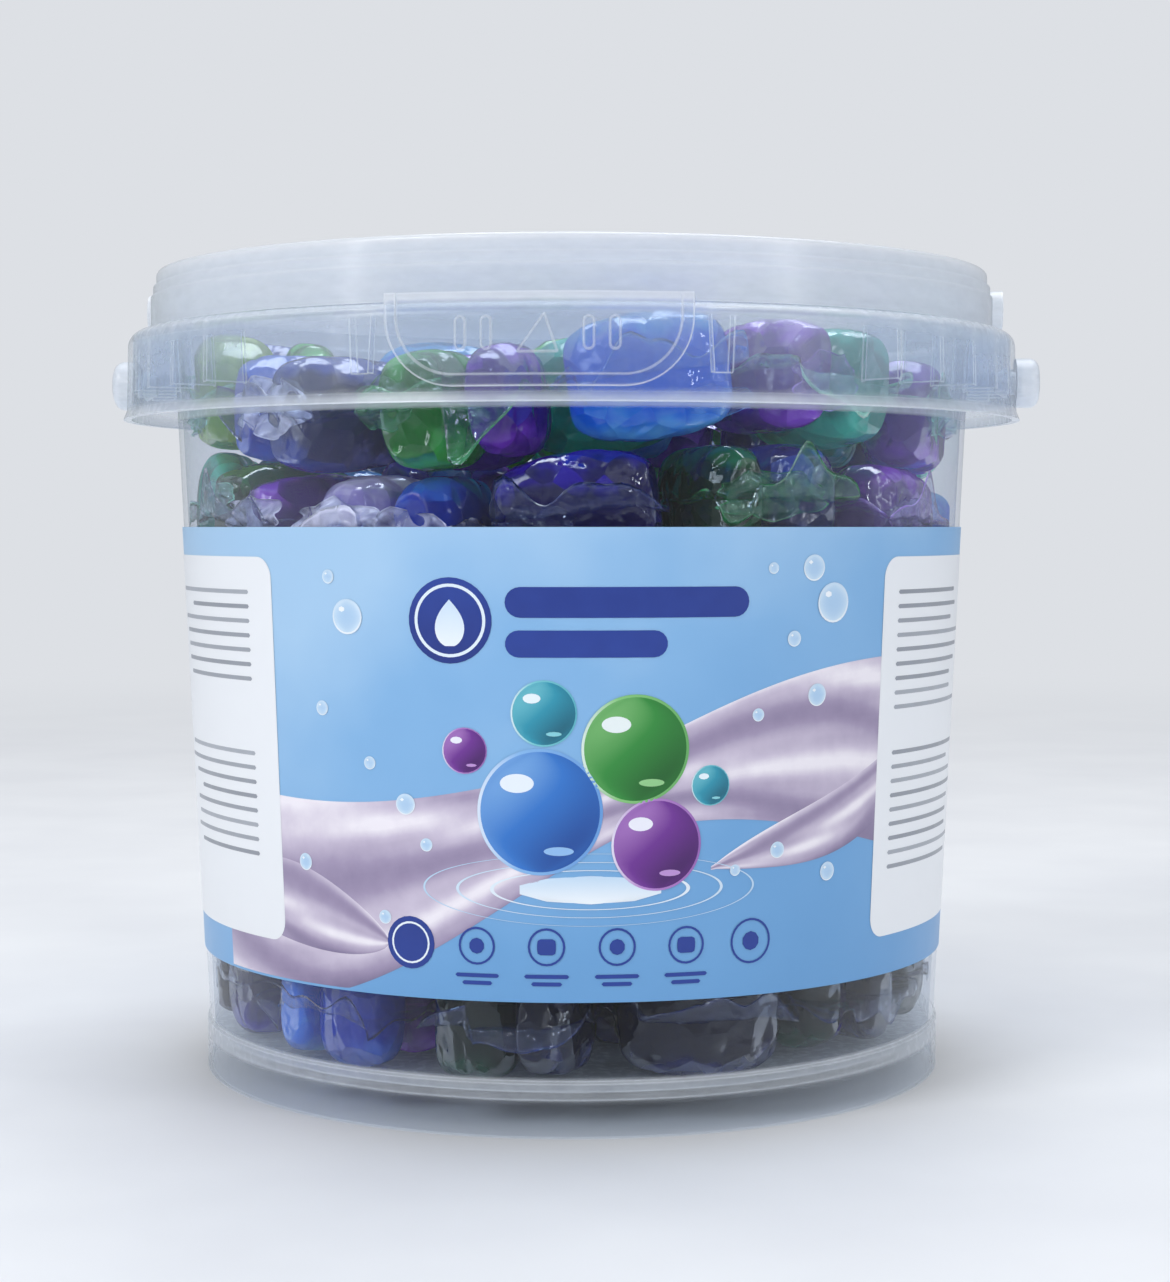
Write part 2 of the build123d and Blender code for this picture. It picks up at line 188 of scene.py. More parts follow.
# Lid: the narrow milkier bands along its rims and ridges are partly painted highlight lines
lid_plastic = moulded_polypropylene("natural_polypropylene_lid", [
    (166.8, 0.20), (168.0, 0.03), (169.8, 0.03), (184.8, 0.06), (186.0, 0.46), (186.6, 0.52), (187.6, 0.42),
    (193.8, 0.46), (194.5, 0.58), (195.2, 0.44), (196.7, 0.50), (197.1, 0.62), (197.7, 0.50), (199.4, 0.52),
    (200.4, 0.66), (201.0, 0.50)], "#f4f8fd", 0.24, 0.10)
bail_plastic = moulded_polypropylene("natural_polypropylene_bail", [
    (0.0, 0.55), (168.0, 0.52), (169.4, 0.78), (171.0, 0.50), (177.5, 0.50), (179.0, 0.78), (210.0, 0.55)],
    "#eaf0f8", 0.30, 0.2)


# ---------------------------------------------------------------- printed label

def satin_skin(tree, place, colour, rough):
    """The smooth, slightly wavy surface of printed film, in this colour and roughness."""
    waves = add(tree, "ShaderNodeTexNoise", {"Vector": place, "Scale": 1 / (14 * MM), "Detail": 2.0})
    bump = add(tree, "ShaderNodeBump", {"Height": waves.outputs["Fac"], "Strength": 0.1, "Distance": 0.5 * MM})
    film = add(tree, "ShaderNodeBsdfPrincipled", {
        "Base Color": colour.outputs["Color"], "Roughness": rough.outputs[0], "IOR": 1.5,
        "Specular IOR Level": 0.45, "Normal": bump.outputs[0]})
    finish_material(tree, film.outputs[0])


def printed_film(name, stops, gloss, grain=0.0):
    """Ink on polypropylene film, gravure printed: even colour under a smooth, slightly wavy sheen.
    The shade runs along the vertices' tone, from 0 to 1."""
    made, tree = material(name)
    tone = add(tree, "ShaderNodeAttribute", attribute_name="tone")
    place = add(tree, "ShaderNodeTexCoord").outputs["Object"]
    ink = add(tree, "ShaderNodeTexNoise", {"Vector": place, "Scale": 1 / (4 * MM), "Detail": 4.0})
    drift = add(tree, "ShaderNodeMapRange", {"Value": ink.outputs["Fac"], "From Min": 0.3, "From Max": 0.7,
                                             "To Min": -grain, "To Max": grain})
    mixed = add(tree, "ShaderNodeMath", {0: tone.outputs["Fac"], 1: drift.outputs[0]},
                operation="ADD", use_clamp=True)
    colour = ramp(tree, mixed.outputs[0], stops)
    rough = add(tree, "ShaderNodeMapRange", {"Value": ink.outputs["Fac"], "From Min": 0.3, "From Max": 0.7,
                                             "To Min": gloss - 0.04, "To Max": gloss + 0.06})
    satin_skin(tree, place, colour, rough)
    return made


def printed_sky():
    """The label's ground: gravure-printed polypropylene film in sky blue, paler to the left and low down,
    with soft cloudy light; it reads as a smooth satin skin."""
    made, tree = material("printed_polypropylene_film_sky")
    place = add(tree, "ShaderNodeTexCoord").outputs["Object"]
    split = add(tree, "ShaderNodeSeparateXYZ", {"Vector": place})
    low = add(tree, "ShaderNodeMapRange", {
        "Value": split.outputs["Z"], "From Min": 31 * MM, "From Max": 137 * MM})
    left = add(tree, "ShaderNodeMapRange", {
        "Value": split.outputs["X"], "From Min": -90 * MM, "From Max": 90 * MM, "To Min": 0.30, "To Max": 0.0})
    cloud = add(tree, "ShaderNodeTexNoise", {"Vector": place, "Scale": 1 / (48 * MM), "Detail": 3.0})
    lift = add(tree, "ShaderNodeMath", {0: low.outputs[0], 1: 0.55}, operation="MULTIPLY")
    sum_low = add(tree, "ShaderNodeMath", {0: lift.outputs[0], 1: left.outputs[0]}, operation="ADD")
    shade = add(tree, "ShaderNodeMath", {0: cloud.outputs["Fac"], 1: 0.5, 2: sum_low.outputs[0]},
                operation="MULTIPLY_ADD", use_clamp=True)
    colour = ramp(tree, shade.outputs[0], [
        (0.10, linear("#5f97cd")), (0.45, linear("#6ea5d8")), (0.75, linear("#84b5e2")),
        (1.0, linear("#a6cbec"))])
    gloss = add(tree, "ShaderNodeTexNoise", {"Vector": place, "Scale": 1 / (14 * MM), "Detail": 2.0})
    rough = add(tree, "ShaderNodeMapRange", {"Value": gloss.outputs["Fac"], "To Min": 0.28, "To Max": 0.42})
    satin_skin(tree, place, colour, rough)
    return made


_, label_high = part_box("wrap_label")
LABEL_TOP = label_high.z
LABEL_TOP_RADIUS = max(v.co.xy.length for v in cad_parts["wrap_label"].data.vertices)
WALL_TAPER = math.tan(math.radians(2.65))
DESIGN_ANGLE = math.radians(5.0)
DESIGN_RADIUS = 98 * MM


def on_label(across, height, lift):
    """Point on the label, across in mm from the middle of the design and height in mm above the foot."""
    angle = DESIGN_ANGLE + across * MM / DESIGN_RADIUS
    radius = LABEL_TOP_RADIUS - (LABEL_TOP - height * MM) * WALL_TAPER + lift * MM
    return radius * math.sin(angle), -radius * math.cos(angle), height * MM


class Sheet:
    """Mesh that grows from grids of points; each grid has a material and a tone for each point."""

    def __init__(self):
        self.points, self.faces, self.slots, self.tones, self.materials = [], [], [], [], []

    def grid(self, rows, tones, finish, closed=False):
        if finish not in self.materials:
            self.materials.append(finish)
        slot, first, wide = self.materials.index(finish), len(self.points), len(rows[0])
        for row, tone_row in zip(rows, tones):
            self.points.extend(row)
            self.tones.extend(tone_row)
        columns = wide if closed else wide - 1
        for r in range(len(rows) - 1):
            for c in range(columns):
                a, b = first + r * wide + c, first + r * wide + (c + 1) % wide
                self.faces.append((a, b, b + wide, a + wide))
                self.slots.append(slot)

    def piece(self, name):
        mesh = bpy.data.meshes.new(name)
        mesh.from_pydata(self.points, [], self.faces)
        for finish in self.materials:
            mesh.materials.append(finish)
        mesh.polygons.foreach_set("material_index", self.slots)
        mesh.polygons.foreach_set("use_smooth", [True] * len(self.faces))
        mesh.attributes.new("tone", "FLOAT", "POINT").data.foreach_set("value", self.tones)
        mesh.update()
        made = bpy.data.objects.new(name, mesh)
        scene.collection.objects.link(made)
        return made


ink_white = printed_film("printed_polypropylene_film_white", [
    (0.0, linear("#dfe4ec")), (1.0, linear("#eef1f5"))], 0.36)
ink_grey = printed_film("printed_polypropylene_film_grey", [
    (0.0, linear("#8d929c")), (1.0, linear("#b3b8c1"))], 0.36)
ink_navy = printed_film("printed_polypropylene_film_navy", [
    (0.0, linear("#1b2f7c")), (1.0, linear("#27439b"))], 0.34, 0.1)
ink_pale = printed_film("printed_polypropylene_film_pale", [
    (0.0, linear("#8fbbe4")), (0.5, linear("#c6def3")), (1.0, linear("#f1f7fd"))], 0.34)
ink_silk = printed_film("printed_polypropylene_film_silk", [
    (0.0, linear("#7d7193")), (0.35, linear("#a396b4")), (0.7, linear("#cdc3d7")),
    (1.0, linear("#f2edf5"))], 0.34, 0.04)
ink_balls = {name: printed_film(f"printed_polypropylene_film_{name}", [
    (0.0, linear(dark)), (0.45, linear(middle)), (0.85, linear(pale)), (1.0, linear("#f4f9ff"))], 0.32)
    for name, dark, middle, pale in (
        ("teal", "#0f4f66", "#2b93ad", "#79cbd6"), ("green", "#12501f", "#2f8a3a", "#86c67c"),
        ("violet", "#36104f", "#6d2f92", "#b887cf"), ("blue", "#123a8a", "#2f74c8", "#86b8ea"))}


def print_field(sheet, across, height, half_high, half_wide_at, lift, finish, tone=0.8, step=1.6):
    """A filled shape whose half width at each height from its middle is given by half_wide_at."""
    rows, tones = [], []
    count = max(2, round(2 * half_high / step))
    widest = max(half_wide_at(half_high * (2 * k / 40 - 1)) for k in range(41))
    columns = max(2, round(2 * widest / step))
    for r in range(count + 1):
        up = half_high * math.sin(math.pi * (r / count - 0.5))
        wide = max(half_wide_at(up), 0.01)
        rows.append([on_label(across + wide * (2 * c / columns - 1), height + up, lift)
                     for c in range(columns + 1)])
        tones.append([tone(2 * c / columns - 1, up / half_high) if callable(tone) else tone
                      for c in range(columns + 1)])
    sheet.grid(rows, tones, finish)


def rounded(half_wide, half_high, corner):
    """Half width of a rounded rectangle at each height from its middle."""
    def half_wide_at(up):
        over = abs(up) - (half_high - corner)
        return half_wide if over <= 0 else half_wide - corner + math.sqrt(max(corner ** 2 - over ** 2, 0))
    return half_wide_at


def oval(half_wide, half_high):
    """Half width of an oval at each height from its middle."""
    return lambda up: half_wide * math.sqrt(max(1 - (up / half_high) ** 2, 0))


def drop_outline(up):
    """Half width in mm of the badge's drop: round below its widest place, drawn to a point above it."""
    low = up < -1.2
    return 3.4 * max(0, 1 - ((up + 1.2) / (4.2 if low else 6.4)) ** 2) ** (0.5 if low else 1.1)


def print_ring(sheet, across, height, wide, high, stroke, lift, finish, tone=0.8):
    """An oval line of this half width and half height."""
    count = max(24, round(2 * math.pi * max(wide, high) / 1.2))
    turns = [2 * math.pi * k / count for k in range(count)]
    rows = [[on_label(across + (wide - inset) * math.cos(t),
                      height + (high - inset * high / wide) * math.sin(t), lift)
             for t in turns] for inset in (0, stroke)]
    tones = [[tone(math.cos(t), math.sin(t)) if callable(tone) else tone for t in turns] for _ in rows]
    sheet.grid(rows, tones, finish, closed=True)


def ball_tone(x, y):
    """Shade of a lit ball: light from the upper left, a dark lower right and a soft bright lower rim."""
    far = min(1.0, math.hypot(x, y))
    lit = 0.42 - 0.30 * x + 0.34 * y
    return max(0.0, min(0.97, lit * (1 - far ** 4 * 0.3) + 0.25 * far ** 6 * (0.5 - 0.5 * y)))


def print_ball(sheet, across, height, size, finish, lift):
    """A glossy ball with its bright line and highlights."""
    print_field(sheet, across, height, size, oval(size, size), lift, finish, ball_tone, 1.1)
    print_ring(sheet, across, height, size, size, size * 0.05, lift + 0.01, finish,
               lambda x, y: 0.80 - 0.15 * x)
    print_field(sheet, across - size * 0.36, height + size * 0.45, size * 0.15, oval(size * 0.27, size * 0.15),
                lift + 0.02, finish, 0.98, 0.3)
    print_field(sheet, across + size * 0.30, height - size * 0.62, size * 0.07, oval(size * 0.24, size * 0.07),
                lift + 0.02, finish, 0.86, 0.2)


def print_bubble(sheet, across, height, size, lift):
    """A clear bubble: pale line, brighter below, and one highlight."""
    print_field(sheet, across, height, size, oval(size, size), lift, ink_pale,
                lambda x, y: 0.25 + 0.35 * min(1, math.hypot(x, y)) ** 3, 0.8)
    print_ring(sheet, across, height, size, size, size * 0.10, lift + 0.01, ink_pale,
               lambda x, y: 0.75 - 0.22 * y)
    print_field(sheet, across - size * 0.35, height + size * 0.42, size * 0.16, oval(size * 0.22, size * 0.16),
                lift + 0.02, ink_pale, 1.0, 0.5)


DRAPE_BOTTOM, DRAPE_TOP = 31.6, 136.6  # mm above the foot, just inside the label's edges


def print_drape(sheet, reach, level, half_wide_at, folds, turn, lift):
    """A fold of pale silk along a level line, with soft ridges that run with it."""
    start, stop = reach
    length = round(abs(stop - start) / 1.4)
    rows, tones = [], []
    for r in range(33):
        side = 2 * r / 32 - 1
        row, tone_row = [], []
        for c in range(length + 1):
            across = start + (stop - start) * c / length
            wide = half_wide_at(across)
            height = min(DRAPE_TOP, max(DRAPE_BOTTOM, level(across) + wide * side))
            row.append(on_label(across, height, lift))
            ridge = math.sin(folds * side * math.pi + turn * across + 0.8 * math.sin(across * 0.061 + 2 * side))
            fine = math.sin(2.3 * folds * side * math.pi - 1.4 * turn * across + 1.3)
            soft = 0.56 + 0.34 * math.copysign(abs(ridge) ** 1.4, ridge) + 0.13 * fine * (0.5 + 0.5 * ridge)
            tone_row.append(max(0, min(1, soft + 0.22 * abs(side) ** 6 * math.copysign(1, side))))
        rows.append(row)
        tones.append(tone_row)
    sheet.grid(rows, tones, ink_silk)


label_print = Sheet()
# Pale silk sweeping across behind the middle, low on the left and high on the right
print_drape(label_print, (-104, 112), lambda s: 71 + 0.17 * s + 8 * math.sin(s / 30 + 0.4),
            lambda s: 9 + 15 * abs(math.sin(s / 64 - 0.15)) ** 1.3, 1.9, 0.045, 0.02)
print_drape(label_print, (-104, -46), lambda s: 46 - 0.10 * (s + 60) + 3 * math.sin(s / 17),
            lambda s: max(0.4, 9.5 * math.sin((s + 104) / 58 * math.pi) ** 0.6 if -104 < s < -46 else 0.4),
            1.4, 0.06, 0.03)
print_drape(label_print, (30, 112), lambda s: 58 + 0.42 * (s - 30) + 3 * math.sin(s / 15),
            lambda s: max(0.4, 7.5 * math.sin((s - 30) / 82 * math.pi) ** 0.8 if 30 < s < 112 else 0.4),
            1.4, -0.06, 0.03)
# Round the back: the silk closes behind in a lower band
print_drape(label_print, (112, 236), lambda s: 98.0 - 0.2 * (s - 112) + 5 * math.sin(s / 24),
            lambda s: 0.4 + 19 * (1 - ((s - 112) / 124) ** 2) ** 0.6, 1.9, 0.045, 0.02)
print_drape(label_print, (-236, -104), lambda s: 60 + 0.1 * (s + 104) + 6 * math.sin(s / 26 + 0.7),
            lambda s: 0.4 + 20 * (1 - ((s + 104) / 132) ** 2) ** 0.6, 1.9, 0.045, 0.02)
# Blank information panels at the sides, with plain rules where small print would be. In mm:
PANEL_EDGE, PANEL_HALF_WIDE, PANEL_HALF_HIGH, PANEL_MIDDLE = 78.3, 33, 45.0, 85.3
RULE_PITCH, RULE_HALF = 3.4, 0.5
for side, ruled in ((-1, (7, 8)), (1, (9, 9))):
    middle = side * (PANEL_EDGE + PANEL_HALF_WIDE)
    print_field(label_print, middle, PANEL_MIDDLE, PANEL_HALF_HIGH,
                rounded(PANEL_HALF_WIDE, PANEL_HALF_HIGH, 5), 0.06, ink_white, 0.9)
    rules = random.Random(3 + side)
    for top, count in ((122, ruled[0]), (84, ruled[1])):
        for line in range(count):
            half_rule = rules.uniform(17, 25)
            # Ragged at one end, as lines of print are
            across = middle - (27 - half_rule) if side > 0 else middle + (24 - half_rule)
            print_field(label_print, across, top - line * RULE_PITCH, RULE_HALF,
                        rounded(half_rule, RULE_HALF, RULE_HALF), 0.08, ink_grey, rules.uniform(0.1, 0.7), 2.4)
# Plain title plate: a badge with a drop, and two blank bars
print_field(label_print, -29.5, 116.5, 9.6, oval(9.6, 9.6), 0.06, ink_navy, lambda x, y: 0.5 + 0.4 * y, 1.1)
print_ring(label_print, -29.5, 116.5, 8.2, 8.2, 0.7, 0.08, ink_pale, 0.8)
print_field(label_print, -29.5, 116.0, 5.2, drop_outline, 0.08, ink_pale, lambda x, y: 0.75 - 0.2 * y, 0.6)
print_field(label_print, 10.5, 120.6, 3.4, rounded(27.5, 3.4, 3.4), 0.06, ink_navy, 0.55, 0.7)
print_field(label_print, 1.0, 111.4, 3.0, rounded(18.0, 3.0, 3.0), 0.06, ink_navy, 0.75, 0.7)
# Rings of still water, and the cluster of coloured balls over them
for wide, high, stroke, tone in ((39, 8.2, 0.5, 0.42), (31, 6.3, 0.7, 0.62), (23, 4.5, 0.9, 0.85)):
    print_ring(label_print, 2, 56.5, wide, high, stroke, 0.07, ink_pale, tone)
print_field(label_print, 2, 56.5, 3.2, oval(17, 3.2), 0.07, ink_pale, lambda x, y: 0.75 - 0.3 * y, 1.2)
for across, height, size, name in (
        (-9.5, 74.0, 14.2, "blue"), (12.0, 88.0, 12.2, "green"), (17.0, 66.5, 10.4, "violet"),
        (-8.5, 96.0, 7.4, "teal"), (-26.5, 87.5, 5.2, "violet"), (29.5, 79.5, 4.6, "teal")):
    print_ball(label_print, across, height, size, ink_balls[name], 0.09)
# Bubbles and pearls scattered over the sky
for across, height, size in (
        (-55, 117, 4.0), (-63, 96, 1.7), (-41, 75, 2.4), (-50, 84, 1.5), (55, 128, 3.0), (61, 120, 4.6),
        (50, 112, 1.8), (57, 99, 2.6), (41, 95, 1.5), (47, 64, 1.9), (62, 58, 2.2), (-47, 49, 1.6),
        (36, 60, 1.3), (-36, 66, 1.5), (-60, 126, 1.6), (44, 128, 1.3), (-70, 60, 2.0), (182, 120, 4.0),
        (196, 96, 2.2), (170, 60, 2.8), (-160, 118, 3.4), (-168, 88, 2.0)):
    print_bubble(label_print, across, height, size, 0.10)
# Row of plain round marks low down
MARKS = ((6.0, True), (4.3, False), (4.3, False), (4.3, False), (4.3, False), (5.2, False))  # radius, filled
FIRST_MARK, MARK_PITCH, MARK_HEIGHT = -40.5, 16.2, 43.6
for k, (size, filled) in enumerate(MARKS):
    across = FIRST_MARK + MARK_PITCH * k
    if filled:
        print_field(label_print, across, MARK_HEIGHT, size, oval(size, size), 0.12, ink_navy, 0.6, 1.0)
        print_ring(label_print, across, MARK_HEIGHT, size * 0.8, size * 0.8, 0.45, 0.14, ink_pale, 0.9)
    else:
        print_ring(label_print, across, MARK_HEIGHT, size, size, 0.5, 0.12, ink_navy, 0.8)
        centre = oval(size * 0.42, size * 0.42) if k % 2 else rounded(size * 0.5, size * 0.42, 0.8)
        print_field(label_print, across, MARK_HEIGHT, size * 0.42, centre, 0.12, ink_navy, 0.7, 0.8)
    if 0 < k < 5:
        print_field(label_print, across, 36.9, 0.45, rounded(5.2, 0.45, 0.45), 0.12, ink_navy, 0.8, 1.6)
        print_field(label_print, across, 35.2, 0.45, rounded(3.6, 0.45, 0.45), 0.12, ink_navy, 0.8, 1.6)
printed = label_print.piece("label_print")
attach(printed, "tub_body")


# ---------------------------------------------------------------- gel pods

def poured_gel(name, deep, painted_glow):
    """Liquid detergent gel under dissolving film, vacuum formed: deep clear colour, with painted light that
    makes the top and bottom of each chamber paler, as if light gathered there, under a wet gloss with fine film
    wrinkles."""
    made, tree = material(name)
    tone = add(tree, "ShaderNodeAttribute", attribute_name="tone")
    place = add(tree, "ShaderNodeTexCoord").outputs["Object"]
    swirl = add(tree, "ShaderNodeTexNoise", {"Vector": place, "Scale": 1 / (9 * MM), "Detail": 2.0})
    drift = add(tree, "ShaderNodeMapRange", {"Value": swirl.outputs["Fac"], "From Min": 0.3, "From Max": 0.7,
                                             "To Min": -0.24, "To Max": 0.04})
    # The film lies in facets of about 8 mm, each a little deeper or brighter
    creases = add(tree, "ShaderNodeTexVoronoi", {"Vector": place, "Scale": 1 / (8 * MM)})
    facet = add(tree, "ShaderNodeMath", {0: creases.outputs["Color"], 1: 0.24, 2: drift.outputs[0]},
                operation="MULTIPLY_ADD")
    shade = add(tree, "ShaderNodeMath", {0: tone.outputs["Fac"], 1: facet.outputs[0]},
                operation="ADD", use_clamp=True)
    # Painted light: both ends of the chamber's height take the paler glow colour, its middle the deep one
    colour = ramp(tree, shade.outputs[0], [(0.0, linear(painted_glow)), (0.34, linear(deep)), (0.75, linear(deep)),
                                           (1.0, linear(painted_glow))], "EASE")
    fine = add(tree, "ShaderNodeTexNoise", {"Vector": place, "Scale": 1 / (3 * MM), "Detail": 1.0})
    relief = add(tree, "ShaderNodeMath", {0: fine.outputs["Fac"], 1: 0.20, 2: creases.outputs["Distance"]},
                 operation="MULTIPLY_ADD")
    bump = add(tree, "ShaderNodeBump", {"Height": relief.outputs[0], "Strength": 1.0, "Distance": 2.0 * MM})
    rough = add(tree, "ShaderNodeMapRange", {"Value": fine.outputs["Fac"], "From Min": 0.3, "From Max": 0.7,
                                             "To Min": 0.03, "To Max": 0.10})
    body = add(tree, "ShaderNodeBsdfPrincipled", {
        "Base Color": colour.outputs["Color"], "Roughness": rough.outputs[0], "IOR": 1.41,
        "Transmission Weight": 0.3, "Specular IOR Level": 0.0, "Coat Weight": 1.0, "Coat Roughness": 0.04,
        "Coat IOR": 1.5, "Coat Normal": bump.outputs[0], "Normal": bump.outputs[0]})
    lit = add(tree, "ShaderNodeBsdfTranslucent", {"Color": colour.outputs["Color"], "Normal": bump.outputs[0]})
    filled = add(tree, "ShaderNodeMixShader", {0: 0.22, 1: body.outputs[0], 2: lit.outputs[0]})
    # Bounced light meets plain gel
    seen = add(tree, "ShaderNodeLightPath").outputs["Is Camera Ray"]
    inside = add(tree, "ShaderNodeBsdfDiffuse", {"Color": linear(deep)})
    through = add(tree, "ShaderNodeBsdfTranslucent", {"Color": linear(painted_glow)})
    bounced = add(tree, "ShaderNodeMixShader", {0: 0.35, 1: inside.outputs[0], 2: through.outputs[0]})
    both = add(tree, "ShaderNodeMixShader", {0: seen, 1: bounced.outputs[0], 2: filled.outputs[0]})
    finish_material(tree, both.outputs[0])
    return made


def dissolving_film(name, tint, cover):
    """Polyvinyl alcohol film, cast and heat sealed: thin, clear and a little tinted, wrinkled, with sharp
    bright glints along its folds."""
    made, tree = material(name)
    place = add(tree, "ShaderNodeTexCoord").outputs["Object"]
    wrinkles = add(tree, "ShaderNodeTexNoise", {
        "Vector": place, "Scale": 1 / (6 * MM), "Detail": 1.0, "Distortion": 1.2})
    # Crumpled into facets of about 4 mm
    facets = add(tree, "ShaderNodeTexVoronoi", {"Vector": place, "Scale": 1 / (4 * MM)}, feature="F2")
    crumple = add(tree, "ShaderNodeMath", {0: facets.outputs["Distance"], 1: 0.9, 2: wrinkles.outputs["Fac"]},
                  operation="MULTIPLY_ADD")
    bump = add(tree, "ShaderNodeBump", {"Height": crumple.outputs[0], "Strength": 0.8, "Distance": 1.1 * MM})
    edge = add(tree, "ShaderNodeLayerWeight", {"Blend": 0.35, "Normal": bump.outputs[0]})
    patch = add(tree, "ShaderNodeMapRange", {
        "Value": wrinkles.outputs["Fac"], "From Min": 0.35, "From Max": 0.7,
        "To Min": cover * 0.4, "To Max": cover * 1.6})
    # The cut edge shows as a thin paler line: a painted highlight along it
    tone = add(tree, "ShaderNodeAttribute", attribute_name="tone")
    cut = add(tree, "ShaderNodeMapRange", {"Value": tone.outputs["Fac"], "From Min": 0.955, "From Max": 1.0,
                                           "To Min": 0.0, "To Max": 0.5})
    lined = add(tree, "ShaderNodeMath", {0: patch.outputs[0], 1: cut.outputs[0]}, operation="ADD")
    amount = add(tree, "ShaderNodeMath", {0: edge.outputs["Facing"], 1: 0.12, 2: lined.outputs[0]},
                 operation="MULTIPLY_ADD", use_clamp=True)
    # Of the film's two skins the one turned outwards carries the look of both
    doubled = add(tree, "ShaderNodeMath", {0: amount.outputs[0], 1: 1.8}, operation="MULTIPLY", use_clamp=True)
    film = add(tree, "ShaderNodeBsdfPrincipled", {
        "Base Color": linear(tint), "Roughness": 0.12, "IOR": 1.5, "Specular IOR Level": 0.8,
        "Normal": bump.outputs[0]})
    clear = add(tree, "ShaderNodeBsdfTransparent", {"Color": linear("#f4f7fb")})
    thin = add(tree, "ShaderNodeMixShader", {0: doubled.outputs[0], 1: clear.outputs[0], 2: film.outputs[0]})
    shine = add(tree, "ShaderNodeBsdfGlossy", {"Color": linear("#ffffff"), "Roughness": 0.07,
                                               "Normal": bump.outputs[0]})
    turned = add(tree, "ShaderNodeMath", {0: edge.outputs["Facing"], 1: 3.0}, operation="POWER")
    mirror = add(tree, "ShaderNodeMath", {0: turned.outputs[0], 1: 0.8, 2: 0.036}, operation="MULTIPLY_ADD")
    outside = add(tree, "ShaderNodeMixShader", {0: mirror.outputs[0], 1: thin.outputs[0], 2: shine.outputs[0]})
    inner = add(tree, "ShaderNodeNewGeometry").outputs["Backfacing"]
    mixed = add(tree, "ShaderNodeMixShader", {0: inner, 1: outside.outputs[0], 2: clear.outputs[0]})
    # Only the eye sees the film: other rays pass through
    seen = add(tree, "ShaderNodeLightPath").outputs["Is Camera Ray"]
    both = add(tree, "ShaderNodeMixShader", {0: seen, 1: clear.outputs[0], 2: mixed.outputs[0]})
    finish_material(tree, both.outputs[0])
    return made


gels = {name: poured_gel(f"poured_gel_{name}", deep, painted_glow) for name, deep, painted_glow in (
    ("azure", "#0d78f4", "#6cc6ff"), ("cobalt", "#0c3cc4", "#3f86ff"), ("navy", "#071a66", "#2850c8"),
    ("indigo", "#12065c", "#3c22c4"), ("violet", "#520c98", "#a84cf2"), ("teal", "#069a8c", "#4cf0d4"),
    ("mint", "#3fd0ac", "#a8fce2"), ("emerald", "#067a26", "#52e062"), ("leaf", "#6aa82c", "#ccf080"),
    # The two near-black gels below are painted shade for the bottom layer of pods
    ("forest", "#043a20", "#1c8a4a"), ("lavender", "#a596e0", "#e6deff"), ("painted_shade_navy", "#03062c", "#141f70"),
    ("painted_shade_green", "#021c14", "#0e5038"))}
films = {name: dissolving_film(f"dissolving_film_{name}", tint, cover) for name, tint, cover in (
    ("lavender", "#ece6fb", 0.30), ("mint", "#a6f0d6", 0.12), ("blue", "#4a9cf8", 0.10),
    ("green", "#2f9a54", 0.12), ("violet", "#a878e6", 0.10), ("navy", "#1c2f78", 0.08))}

LABEL_THICKNESS, WALL_THICKNESS = 0.4 * MM, 1.2 * MM
WALL_TOP_RADIUS = LABEL_TOP_RADIUS - LABEL_THICKNESS - WALL_THICKNESS
FLOOR_TOP, LID_UNDERSIDE = 10.5 * MM, 192.4 * MM
INNER_RADIUS = 60 * MM  # pods nearer the axis than this stand inside the ring of pods at the wall


def wall_inside(height):
    """Inside radius of the tub's wall at this height, in metres."""
    return WALL_TOP_RADIUS - (LABEL_TOP - height) * WALL_TAPER


def seats_of(node):
    """Each pod of a CAD node: its middle, its upward axis and its thickness."""
    mesh = node.data
    points = np.empty(len(mesh.vertices) * 3)
    mesh.vertices.foreach_get("co", points)
    points = points.reshape(-1, 3)
    _, ids = np.unique(np.round(points, 6), axis=0, return_inverse=True)
    ids = ids.ravel()
    joined = list(range(ids.max() + 1))

    def root(i):
        while joined[i] != i:
            joined[i] = joined[joined[i]]
            i = joined[i]
        return i

    for face in mesh.polygons:
        corners = [ids[v] for v in face.vertices]
        for other in corners[1:]:
            joined[root(other)] = root(corners[0])
    groups = {}
    for face in mesh.polygons:
        groups.setdefault(root(ids[face.vertices[0]]), []).append(face)
    found = []
    for faces in groups.values():
        corners = points[sorted({v for face in faces for v in face.vertices})]
        middle = (corners.min(axis=0) + corners.max(axis=0)) / 2
        areas = {}
        for face in faces:
            if face.normal.z > 0.8:
                key = tuple(round(a, 2) for a in face.normal)
                areas[key] = areas.get(key, 0) + face.area
        axis = Vector(max(areas, key=areas.get)).normalized()
        heights = (corners - middle) @ np.array(axis)
        found.append((Vector(middle), axis, float(heights.max() - heights.min())))
    return sorted(found, key=lambda seat: (round(seat[0].xy.length, 3),
                                           round(math.atan2(seat[0].x, -seat[0].y), 3)))


# Chambers of one pod, in mm: gel, middle outwards and sideways, length, width, turn in degrees, bend
LAYOUTS = {
    "pair": ((0, 7.6, 0, 37, 21.5, 0, 0.0), (1, -11.6, 0, 33, 13.5, 0, -0.006)),
    "beside": ((0, 0, -7.2, 37, 21.5, 90, 0.0), (1, 0, 11.4, 35, 14.0, 90, 0.004)),
    "three": ((0, 11.2, 0, 37, 14.5, 0, 0.012), (1, -6.8, -9.2, 19.5, 18.5, 90, 0.0),
              (2, -6.8, 9.4, 19.0, 18.0, 90, 0.0)),
    "swirl": ((0, 10.5, -3.5, 31, 13.5, -18, 0.016), (1, -10.5, 3.5, 31, 13.5, 162, 0.016),
              (2, 0, 0, 14.5, 14.5, 0, 0.0)),
}

